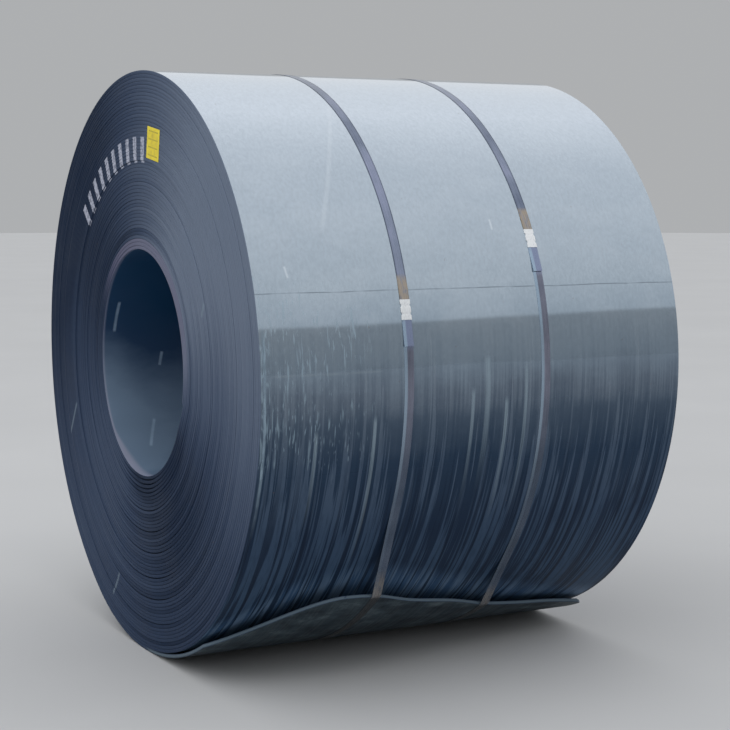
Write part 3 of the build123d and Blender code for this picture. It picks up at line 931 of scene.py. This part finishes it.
def strap_material(side):
    """Blued strapping with purple and blue temper colours, rusty by the seal and the tail, with painted
    shade darkening it low down, along its edges above the seal and where it lies on the tongue, and a
    painted highlight down one edge below the seal.
    """
    facts = STRAPS[side]
    seal, tail = facts["seal_angle"], strap_corner(facts["tail_angle"])[1]
    s = Shader(f"strap_steel_{side}")
    place = s.place()
    x, y, z = s.split(place)
    angle = s.angle(y, z)
    across = s.minus(x, NEAR_END + facts["from_end"])
    scratches = s.noise(place, (600, 9, 9), 2)
    tone = s.vary(s.noise(place, (6, 5, 5), 4, 0.6), (scratches, 0.4))
    # Lit and painted-shade copies of the blued steel: one above the seal, one below it, and a much darker
    # one low down
    upper = s.ramp(tone, (0.25, rgb(97, 107, 128)), (0.5, rgb(124, 134, 154)), (0.75, rgb(149, 155, 181)))
    lower = s.ramp(tone, (0.25, rgb(97, 102, 118)), (0.5, rgb(120, 123, 139)), (0.75, rgb(143, 143, 160)))
    shaded_lowest = s.ramp(tone, (0.25, rgb(65, 77, 92)), (0.5, rgb(79, 91, 109)), (0.75, rgb(97, 108, 126)))
    above = s.between(angle, seal - 3, seal)
    colour = s.mix(above, s.mix(s.between(angle, 94, 66), lower, shaded_lowest), upper)
    colour = s.cover(colour, rgb(134, 147, 178), s.band_between(angle, seal - 6.0, seal, 1.6), 0.7)
    # Painted shade along both edges above the seal
    edges = s.between(s.math("ABSOLUTE", across), 11 * MM, 15 * MM)
    colour = s.cover(colour, rgb(46, 55, 71), edges, above, 0.7)
    glint = s.times(s.band(across, -12 * MM, 4 * MM, 4 * MM), s.between(angle, seal, seal - 3))
    colour = s.cover(colour, rgb(158, 181, 200), glint, s.between(angle, 62, 92, 0.1, 0.75))
    by_seal = s.band_between(angle, seal + 1.8, seal + 5.5, 1.2)
    by_tail = s.between(s.math("ABSOLUTE", s.minus(angle, tail + 1)), 5, 1)
    patchy = s.between(s.noise(place, (70, 30, 30), 4, 0.65), 0.28, 0.55, 0.25, 1.0)
    rusty = s.times(s.math("MAXIMUM", by_seal, s.times(by_tail, 0.5)), patchy)
    colour = s.cover(colour, rgb(166, 151, 128), rusty, 0.75)
    # Painted shade where the strap lies over the tongue
    on_tail_shade = s.between(angle, tail, tail - 1.0, 0.0, 0.95)
    colour = s.cover(colour, rgb(27, 34, 42), on_tail_shade, s.between(angle, 0, 8))
    return s.finish(Base_Color=colour, Metallic=s.plus(0.75, (rusty, -0.5)),
                    Roughness=s.between(scratches, 0.3, 0.7, 0.20, 0.36),
                    Normal=s.bump(scratches, 0.05 * MM))


def seal_material():
    """Bright zinc coating with faint spangle and scuffs."""
    s = Shader("seal_zinc")
    place = s.place()
    spangle = s.node("ShaderNodeTexVoronoi", {"Vector": place, "Scale": 350.0}, output="Color")
    grey = s.split(spangle)[0]
    scuffs = s.noise(place, (500, 60, 60), 3)
    tone = s.vary(s.plus(0.6, (grey, 0.2)), (scuffs, 0.6))
    colour = s.ramp(tone, (0.3, rgb(180, 184, 189)), (0.7, rgb(232, 235, 237)), (1.0, rgb(246, 247, 248)))
    return s.finish(Base_Color=colour, Metallic=s.plus(0.45, (grey, 0.1)),
                    Roughness=s.between(scuffs, 0.3, 0.7, 0.28, 0.5), Normal=s.bump(scuffs, 0.05 * MM))


def label_material():
    """Yellow label with plain dark rules, faded and a little dirty."""
    s = Shader("label_yellow")
    place = s.place()
    y, z = s.split(place)[1:]
    low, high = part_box("label")
    lean = math.radians(LABEL_LEAN)
    y = s.minus(y, (low[1] + high[1]) / 2)
    z = s.minus(z, (low[2] + high[2]) / 2 - AXIS_HEIGHT)
    down = s.plus(s.times(y, math.sin(lean)), (z, -math.cos(lean)))
    down = s.plus(0.5, (down, 1 / (high[2] - low[2])))
    across = s.plus(s.times(y, math.cos(lean)), (z, math.sin(lean)))
    across = s.plus(0.5, (across, 1 / (high[1] - low[1])))
    dirt = s.noise(place, (30, 30, 30), 5, 0.65)
    colour = s.ramp(dirt, (0.3, rgb(208, 187, 28)), (0.5, rgb(240, 218, 42)), (0.75, rgb(250, 233, 74)))
    rows = s.math("FRACT", s.times(down, LABEL_RULES))
    rule = s.math("LESS_THAN", s.math("ABSOLUTE", s.minus(rows, 0.5)), 0.09)
    inside = s.math("LESS_THAN", s.math("ABSOLUTE", s.minus(across, 0.5)), 0.38)
    colour = s.cover(colour, rgb(95, 89, 36), rule, inside, s.between(dirt, 0.35, 0.55, 0.3, 0.8), 0.6)
    return s.finish(Base_Color=colour, Roughness=s.between(dirt, 0.3, 0.7, 0.35, 0.6))


# Stage, light and camera

def make_stage():
    bpy.ops.mesh.primitive_circle_add(vertices=FLOOR_CORNERS, radius=FLOOR_RADIUS, fill_type="NGON")
    floor = bpy.context.object
    floor.name = "studio_floor"
    s = Shader("pale_floor")
    soft = s.noise(s.place(), (0.8, 0.8, 0.8), 3)
    colour = s.ramp(soft, (0.3, (0.53, 0.535, 0.54, 1)), (0.7, (0.56, 0.565, 0.57, 1)))
    floor.data.materials.append(s.finish(Base_Color=colour, Roughness=s.between(soft, 0.2, 0.8, 0.75, 0.9)))


def make_sky():
    """World that is bright overhead and dimmer near the horizon, the same all the way round."""
    world = bpy.data.worlds.new("soft_sky")
    bpy.context.scene.world = world
    world.use_nodes = True
    tree = world.node_tree
    direction = tree.nodes.new("ShaderNodeTexCoord").outputs["Generated"]
    parts = tree.nodes.new("ShaderNodeSeparateXYZ")
    tree.links.new(direction, parts.inputs[0])
    rising = tree.nodes.new("ShaderNodeValToRGB")
    tree.links.new(parts.outputs["Z"], rising.inputs[0])
    stops = rising.color_ramp.elements
    stops[0].position, stops[0].color = math.sin(math.radians(SKY_EDGE - SKY_SOFT)), HORIZON_COLOUR
    stops[1].position, stops[1].color = math.sin(math.radians(SKY_EDGE + SKY_SOFT)), SKY_COLOUR
    stops.new(OVERHEAD).color = OVERHEAD_COLOUR
    tree.links.new(rising.outputs["Color"], tree.nodes["Background"].inputs["Color"])


def aimed(name, data, place, aim):
    """Object at a place that looks at a point."""
    holder = bpy.data.objects.new(name, data)
    bpy.context.scene.collection.objects.link(holder)
    holder.location = place
    holder.rotation_euler = (aim - place).to_track_quat("-Z", "Y").to_euler()
    return holder


def make_lamp():
    lamp = bpy.data.lights.new("soft_lamp", "AREA")
    lamp.shape = "DISK"
    lamp.size = LAMP_SIZE
    lamp.energy = LAMP_WATTS
    aimed("soft_lamp", lamp, LAMP, LAMP_AIM)


def make_camera():
    camera = bpy.data.cameras.new("camera")
    camera.lens = LENS
    camera.sensor_width = SENSOR_WIDTH
    bpy.context.scene.camera = aimed("camera", camera, CAMERA, CAMERA_AIM)


make_strip()
for side in STRAPS:
    make_strap(side)
    make_seal(side)
make_label()
make_stage()
make_sky()
make_lamp()
make_camera()
bpy.context.scene.view_settings.view_transform = "Standard"
